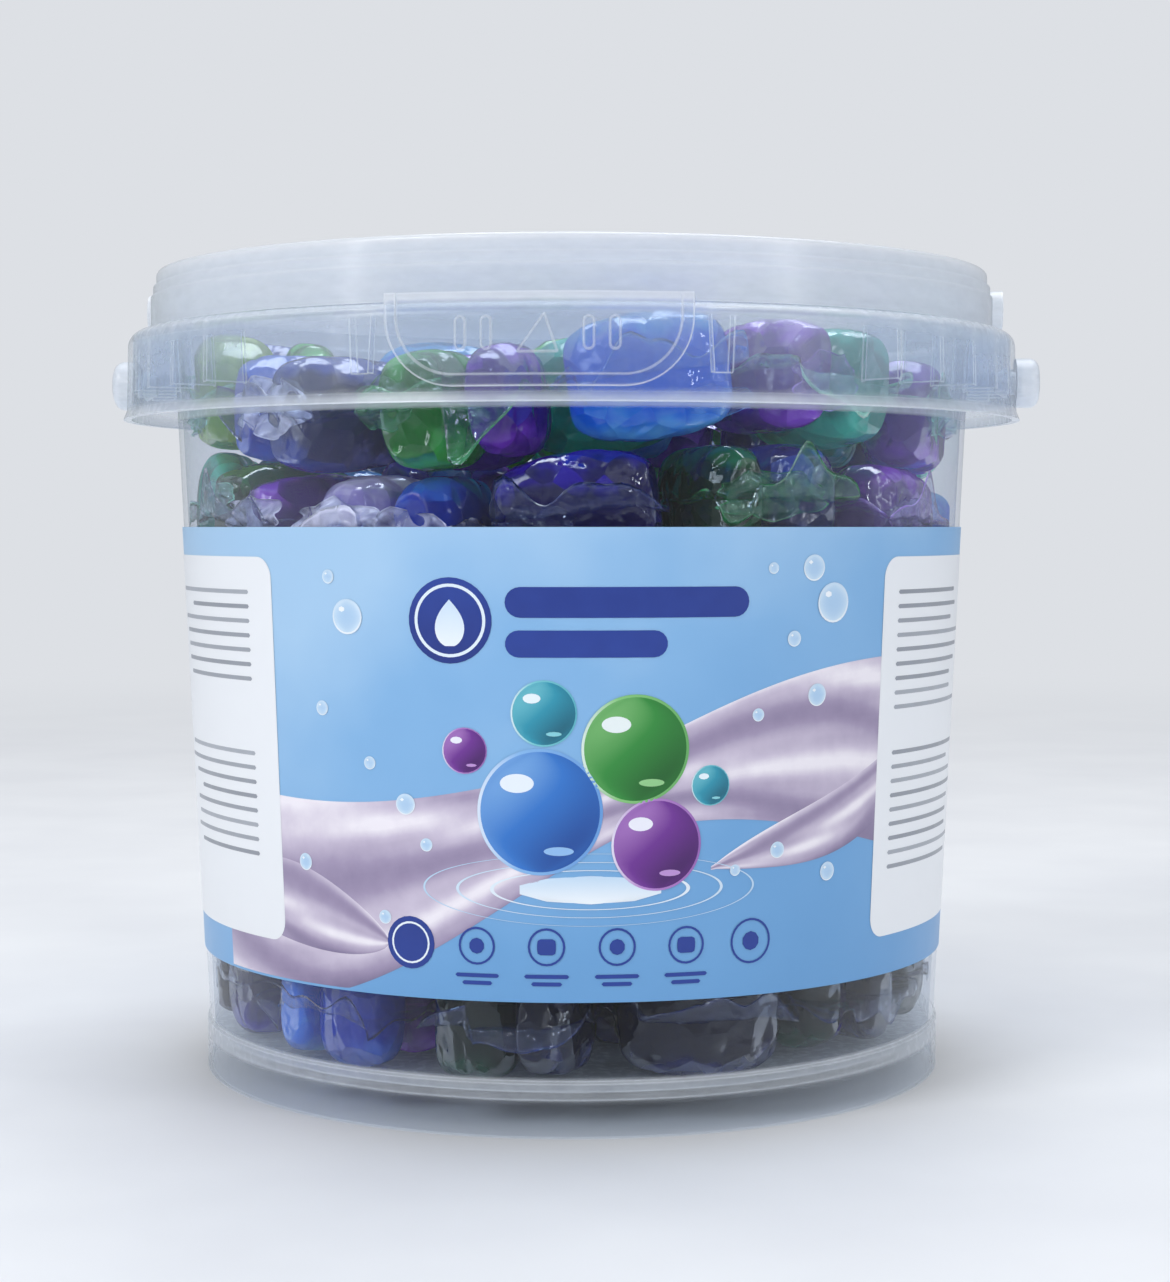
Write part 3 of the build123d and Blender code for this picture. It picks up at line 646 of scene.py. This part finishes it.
# Gels and film of the pods of each group
GROUP_LOOKS = {
    "blue": (("azure", "violet", "cobalt"), "blue"), "teal": (("teal", "emerald", "azure"), "mint"),
    "purple": (("violet", "indigo", "azure"), "violet"), "navy": (("navy", "lavender", "teal"), "lavender"),
    "green": (("emerald", "leaf", "cobalt"), "green")}

# The pods that show at the front: layer and angle from the front, then gels, layout, turn, film, and 1 where
# the film folds up along the wall or -1 where it folds down
FRONT_PODS = {
    (6, -74): (("leaf", "emerald"), "pair", 0, "mint", 1),
    (6, -44): (("navy", "cobalt"), "beside", 180, "navy", 1),
    (6, -14): (("emerald", "violet"), "beside", 0, "green", 1),
    (6, 16): (("azure", "cobalt"), "pair", -8, "blue", 1),
    (6, 46): (("teal", "violet"), "beside", 180, "mint", 1),
    (6, 76): (("violet", "mint"), "pair", 6, "mint", 1),
    (5, -55): (("forest", "violet"), "beside", 0, "navy", 1),
    (5, -25): (("lavender", "cobalt"), "beside", 0, "lavender", 1),
    (5, 5): (("indigo", "forest"), "pair", 0, "navy", 1),
    (5, 35): (("navy", "forest"), "beside", 180, "green", 1),
    (5, 65): (("violet", "indigo"), "pair", 0, "violet", 1)}


def build_pod(sheet, seat, gel_names, layout, spin, film, up_sign, fine, chance, film_slack, span,
              wing, gel_slack):
    """One pod: its gel chambers as domed shells above and below the seal, and the sealed film round them.
    The slacks are how far the film and the gel stay from the wall, span is the lowest and highest place for
    them, and wing is the share by which the film is cut wider towards the wall."""
    middle, axis, thickness = seat
    outward = Vector((middle.x, middle.y, 0)).normalized()
    outward = (outward - axis * outward.dot(axis)).normalized()
    sideways = axis.cross(outward)
    half = thickness / 2
    phase = [chance.uniform(0, 2 * math.pi) for _ in range(6)]
    turn = math.radians(spin)
    low_z, top_z = max(FLOOR_TOP, span[0]), min(LID_UNDERSIDE, span[1])
    hidden = middle.xy.length < INNER_RADIUS

    def placed(u, v, w, slack):
        """A point in the tub from one in the pod, kept inside the wall, the floor and the lid."""
        p = middle + outward * u + sideways * v + axis * w
        limit = wall_inside(p.z) - slack
        far = math.hypot(p.x, p.y)
        over = max(0.0, far - limit)
        if over:
            p.x *= limit / far
            p.y *= limit / far
        return p, over

    across, along = (44, 32) if fine else (18, 10)
    for gel, cu, cv, length, width, aim, bend in LAYOUTS[layout]:
        finish = gels[gel_names[gel % len(gel_names)]]
        aim_turn = math.radians(aim) + turn
        # The chamber's middle turns with the pod
        mu = (cu * math.cos(turn) - cv * math.sin(turn)) * MM
        mv = (cu * math.sin(turn) + cv * math.cos(turn)) * MM
        rows, tones = [], []
        for r in range(along + 1):
            slide = math.pi * r / along
            x = -math.cos(slide) * length / 2 * MM
            girth = math.sin(slide) ** 0.68
            row, tone_row = [], []
            for c in range(across):
                round_turn = 2 * math.pi * c / across
                aside = math.cos(round_turn)
                y = girth * width / 2 * MM * math.copysign(abs(aside) ** 0.74, aside)
                rise = math.sin(round_turn)
                fat = girth ** 0.5
                tall = half * (1.12 if hidden else 1.0) * (1.0 if width > 16 else 0.93)
                w = tall * fat * math.copysign(abs(rise) ** 0.66, rise)
                # The film puckers from the seal towards the crown
                pucker = abs(math.sin(5.5 * slide + phase[0] + 1.6 * aside)) ** 0.7 - 0.6
                pleat = 1.3 * MM * pucker * (1 - 0.5 * abs(rise)) * girth
                dent = 0.9 * MM * math.sin(2.3 * slide + phase[1]) * math.sin(2 * round_turn + phase[2]) * girth
                y += pleat * 0.6 * math.copysign(1, aside)
                w += (pleat + dent) * (0.5 if w > 0 else -0.5)
                # Length runs along the pod's sideways direction, bowed towards its middle
                bow = bend * (x / MM) ** 2 * MM
                lu, lv = y - bow, x
                u = mu + lu * math.cos(aim_turn) - lv * math.sin(aim_turn)
                v = mv + lu * math.sin(aim_turn) + lv * math.cos(aim_turn)
                p, _ = placed(u, v, w, gel_slack)
                p.z = min(top_z, max(low_z, p.z))
                row.append(tuple(p))
                # Height through the chamber, 0 at its bottom and 1 at its top, which the gel's painted glow
                # reads
                tone_row.append(0.5 + 0.5 * w / half)
            rows.append(row)
            tones.append(tone_row)
        sheet.grid(rows, tones, finish, closed=True)

    # Sealed film: a square sheet with soft corners, folded up or down where it meets neighbours and the wall
    rings = (0.0, 0.4, 0.62, 0.75, 0.84, 0.91, 0.96, 1.0) if fine else (0.0, 0.6, 0.82, 1.0)
    around = 88 if fine else 36
    reach = 22.6 * MM  # half width of the flat sheet
    bound = 19.9 * MM  # where it meets the next pod and folds
    layers = []
    for face in (1, -1):
        rows, tones = [], []
        for share in rings:
            row, tone_row = [], []
            for k in range(around):
                t = 2 * math.pi * k / around
                c, s = math.cos(t), math.sin(t)
                edge = reach / (abs(c) ** 4.5 + abs(s) ** 4.5) ** (1 / 4.5)
                edge *= 1 + 0.02 * math.sin(9 * t + phase[3]) + 0.015 * math.sin(14 * t + phase[4])
                u, v = share * edge * c, share * edge * s
                lift = max(0, (share - 0.7) / 0.3) ** 1.4
                corner = abs(c * s) * 2
                w = lift * MM * (1.3 * math.sin(5 * t + phase[4]) + 0.9 * math.sin(11 * t + phase[5])
                                 + 2.2 * corner ** 3 * math.sin(t * 2 + phase[3]))
                # The side towards the wall is cut wider, and its excess folds up or down in turns
                u *= 1.0 + (wing + 0.10 * math.sin(v / (7.5 * MM) + phase[1])) * max(0, c) * share
                over_u, over_v = max(0, -u - bound), max(0, abs(v) - bound)
                u = max(u, -bound)
                v = math.copysign(min(abs(v), bound), v)
                w += up_sign * 0.85 * max(over_u, over_v)
                p, over = placed(u, v, w, film_slack)
                fold = up_sign * (0.75 + 0.35 * math.sin(v / (4.1 * MM) + phase[0])) * (
                    1 if up_sign * math.sin(v / (16 * MM) + phase[5]) > -0.5 else -1)
                p.z = min(top_z, max(low_z, p.z + fold * 0.95 * over))
                p += axis * (face * 0.05 * MM)
                row.append(tuple(p))
                tone_row.append(share)
            rows.append(row)
            tones.append(tone_row)
        layers.append((rows, tones))
    (top_rows, top_tones), (low_rows, low_tones) = layers
    # Top face from the middle to the edge, then back under to the middle, as one closed skin
    sheet.grid(top_rows + low_rows[::-1], top_tones + low_tones[::-1], films[film], closed=True)


def crumpled_film(sheet, seat, along_mid, up_mid, half_along, half_up, film, chance):
    """Loose film of a pod pressed against the wall, creased into facets: a patch this far along the wall and up
    from the pod's middle, in mm."""
    start = math.atan2(seat[0].x, -seat[0].y)
    shift = [chance.random() for _ in range(4)]
    columns, lines = max(10, round(half_along * 2.2)), max(8, round(half_up * 2.2))

    def crease(x):
        return abs(x % 2 - 1)

    rows, tones = [], []
    for i in range(columns + 1):
        s = 2 * i / columns - 1
        front, back, front_tone = [], [], []
        for j in range(lines + 1):
            q = 2 * j / lines - 1
            up = up_mid + half_up * (q * (1 - 0.5 * s * s) + 0.25 * (crease(2.2 * s + shift[0]) - 0.5))
            along = along_mid + half_along * (s + 0.16 * (crease(1.8 * q + shift[1]) - 0.5))
            depth = (0.5 + 2.4 * crease(2.0 * s + 1.1 * q + 2 * shift[2])
                     + 1.8 * crease(1.6 * q - 1.4 * s + 2 * shift[3]))
            z = seat[0].z + up * MM
            for side, extra in ((front, 0.0), (back, 0.1)):
                radius = wall_inside(z) - (depth + extra) * MM
                turned = start + along * MM / radius
                side.append((radius * math.sin(turned), -radius * math.cos(turned), z))
            front_tone.append(max(abs(s), abs(q)))
        rows.append(front + back[::-1])
        tones.append(front_tone + front_tone[::-1])
    sheet.grid(rows, tones, films[film], closed=True)


# Loose film that shows at the front: layer and angle of its pod, then how far along and up, its half size
# along and up, in mm, and its film
LOOSE_FILM = {
    (5, -25): ((-9, 0.5, 12, 7.5, "lavender"), (9, -1.0, 11, 6.5, "lavender")),
    (5, -55): ((11, 0.0, 11, 7.0, "lavender"), (-9, 5.5, 11, 4.5, "mint")),
    (6, -44): ((2, 0.5, 13, 7.0, "lavender"),),
    (6, -74): ((5, -6.0, 12, 4.5, "mint"),),
    (6, 16): ((12, -5.5, 9, 3.4, "blue"),), (5, 35): ((-4, 2.0, 14, 5.5, "green"),),
    (6, 46): ((-9, 0.0, 9, 6.5, "violet"),), (6, 76): ((-8, 1.0, 9, 6.5, "mint"),),
    (5, 5): ((-10, -2.5, 9, 4.5, "navy"),), (6, -14): ((-13, 0.0, 7, 6.0, "green"),),
    (5, 65): ((-6, 0.5, 10, 5.5, "violet"),)}

order = tuple(LAYOUTS)
CLEAR_LAYERS = (1, 5, 6)  # the layers of pods that show above and below the label
for name in sorted(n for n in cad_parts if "_pods_layer_" in n):
    colour, layer = name.split("_")[0], int(name.rsplit("_", 1)[1])
    chance = random.Random(name)
    sheet = Sheet()
    node_low, node_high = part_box(name)
    for number, seat in enumerate(seats_of(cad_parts[name])):
        angle = math.degrees(math.atan2(seat[0].x, -seat[0].y))
        near_wall = seat[0].xy.length > INNER_RADIUS
        looks = [v for (at, a), v in FRONT_PODS.items() if near_wall and at == layer and abs(a - angle) < 3]
        spin, pick, sign = chance.uniform(-14, 14), order[chance.randrange(4)], chance.choice((-1, 1))
        gel_names, film = GROUP_LOOKS[colour]
        # The bottom layer mostly takes near-black gels: painted shade for the dark foot of the tub
        if layer == 1:
            gel_names, film = (("painted_shade_navy", "painted_shade_green", "indigo") if chance.random() < 0.8 else gel_names), "navy"
        spin += chance.choice((0, 90, 180, 270))
        if looks:
            gel_names, pick, spin, film, sign = looks[0]
        film_slack = (0.20 + 0.16 * ((3 * number + 2 * layer + len(colour)) % 5)) * MM
        loose = [v for (at, a), v in LOOSE_FILM.items() if near_wall and at == layer and abs(a - angle) < 3]
        fine = near_wall and layer in CLEAR_LAYERS
        gel_slack = (3.6 if loose else 1.1) * MM  # more room for loose film between the gel and the wall
        wing = 0.1 if layer == 1 else 0.26
        build_pod(sheet, seat, gel_names, pick, spin, film, sign, fine, chance, film_slack,
                  (node_low.z, node_high.z), wing, gel_slack)
        for patch in (loose[0] if loose else ()):
            crumpled_film(sheet, seat, *patch, chance)
    piece = sheet.piece(name + "_filled")
    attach(piece, "tub_body")
    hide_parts(name)


# ---------------------------------------------------------------- finishes on the moulded pieces

for node, finish in (("tub", tub_plastic), ("lid", lid_plastic), ("bail_handle", bail_plastic),
                     ("wrap_label", printed_sky())):
    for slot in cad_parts[node].material_slots:
        slot.material = finish


# ---------------------------------------------------------------- studio

BACKDROP = "#dde0e5"


def studio_floor():
    """Matt painted board, sprayed: pale, even, with a faint cloudiness and no shine."""
    made, tree = material("matt_painted_board")
    place = add(tree, "ShaderNodeTexCoord").outputs["Object"]
    cloud = add(tree, "ShaderNodeTexNoise", {"Vector": place, "Scale": 1 / (90 * MM), "Detail": 3.0})
    colour = ramp(tree, cloud.outputs["Fac"], [(0.3, linear("#d3d5d9")), (0.7, linear("#dbdde0"))])
    paint = add(tree, "ShaderNodeBsdfPrincipled", {"Base Color": colour.outputs["Color"], "Roughness": 0.85,
                                                   "Specular IOR Level": 0.2})
    # Far from the tub the board runs into the pale backdrop
    flat = add(tree, "ShaderNodeVectorMath", {0: place}, operation="LENGTH")
    far = add(tree, "ShaderNodeMapRange", {"Value": flat.outputs["Value"], "From Min": 0.25, "From Max": 1.7},
              interpolation_type="SMOOTHSTEP")
    path = add(tree, "ShaderNodeLightPath")
    seen = add(tree, "ShaderNodeMath", {
        0: path.outputs["Is Camera Ray"], 1: path.outputs["Is Transmission Ray"]}, operation="MAXIMUM")
    share = add(tree, "ShaderNodeMath", {0: far.outputs[0], 1: seen.outputs[0]}, operation="MULTIPLY")
    pale = add(tree, "ShaderNodeEmission", {"Color": linear(BACKDROP), "Strength": 1.0})
    board = add(tree, "ShaderNodeMixShader", {0: share.outputs[0], 1: paint.outputs[0], 2: pale.outputs[0]})
    finish_material(tree, board.outputs[0])
    return made


floor_mesh = bpy.data.meshes.new("floor")
floor_mesh.from_pydata([(-4, -3, 0), (4, -3, 0), (4, 6, 0), (-4, 6, 0)], [], [(0, 1, 2, 3)])
floor_mesh.materials.append(studio_floor())
floor = bpy.data.objects.new("floor", floor_mesh)
scene.collection.objects.link(floor)
floor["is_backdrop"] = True

world = bpy.data.worlds.new("studio_air")
world.use_nodes = True
room = world.node_tree
room.nodes.clear()
path = add(room, "ShaderNodeLightPath")
seen = add(room, "ShaderNodeMath", {
    0: path.outputs["Is Camera Ray"], 1: path.outputs["Is Transmission Ray"]}, operation="MAXIMUM")
# The room is brighter overhead than round the sides
ways = add(room, "ShaderNodeSeparateXYZ", {"Vector": add(room, "ShaderNodeTexCoord").outputs["Generated"]})
level = add(room, "ShaderNodeMapRange", {
    "Value": ways.outputs["Z"], "From Min": -0.1, "From Max": 0.9, "To Min": 0.30, "To Max": 0.85},
    interpolation_type="SMOOTHSTEP")
air = add(room, "ShaderNodeBackground", {"Color": linear("#eceff4"), "Strength": level.outputs[0]})
backdrop = add(room, "ShaderNodeBackground", {"Color": linear(BACKDROP), "Strength": 1.0})
both = add(room, "ShaderNodeMixShader", {0: seen.outputs[0], 1: air.outputs[0], 2: backdrop.outputs[0]})
add(room, "ShaderNodeOutputWorld", {"Surface": both.outputs[0]})
scene.world = world

for name, place, power, wide, high in (
        ("key", (-0.95, -1.05, 1.15), 8.4, 0.6, 0.6), ("top", (0.1, 0.35, 1.45), 11.0, 1.1, 1.1),
        ("fill", (1.2, -0.9, 0.7), 2.6, 0.9, 0.9), ("strip_left", (-1.0, -0.75, 0.62), 1.4, 0.07, 0.8),
        ("strip_right", (1.05, -0.62, 0.62), 1.2, 0.06, 0.8),
        ("glint_left", (-0.45, -1.2, 0.62), 0.9, 0.09, 0.09),
        ("glint_right", (0.5, -1.15, 0.75), 0.8, 0.09, 0.09)):
    lamp = bpy.data.lights.new(name, "AREA")
    lamp.shape = "RECTANGLE"
    lamp.energy, lamp.size, lamp.size_y = power, wide, high
    made = bpy.data.objects.new(name, lamp)
    made.location = place
    made.rotation_euler = (Vector((0, 0, 0.1)) - Vector(place)).to_track_quat("-Z", "Y").to_euler()
    scene.collection.objects.link(made)

# Camera: 641 mm from the tub's axis, 3.7 degrees round towards +X and 137 mm up, tipped 2.65 degrees down
CAMERA_DISTANCE, CAMERA_HEIGHT = 641 * MM, 137.2 * MM
CAMERA_ROUND, CAMERA_TIP, CAMERA_PAN = math.radians(3.7), math.radians(2.65), math.radians(0.3)
camera = bpy.data.objects.new("camera", bpy.data.cameras.new("camera"))
camera.data.lens = 69.19
camera.data.sensor_width = 36
camera.location = (CAMERA_DISTANCE * math.sin(CAMERA_ROUND), -CAMERA_DISTANCE * math.cos(CAMERA_ROUND),
                   CAMERA_HEIGHT)
camera.rotation_euler = (math.pi / 2 - CAMERA_TIP, 0, CAMERA_ROUND - CAMERA_PAN)
camera.data.clip_start, camera.data.clip_end = 0.01, 50
scene.collection.objects.link(camera)
scene.camera = camera
scene.cycles.transparent_max_bounces = 24
scene.cycles.max_bounces = 4
scene.cycles.diffuse_bounces = 2
scene.cycles.glossy_bounces = 2
scene.cycles.transmission_bounces = 3

low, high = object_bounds()
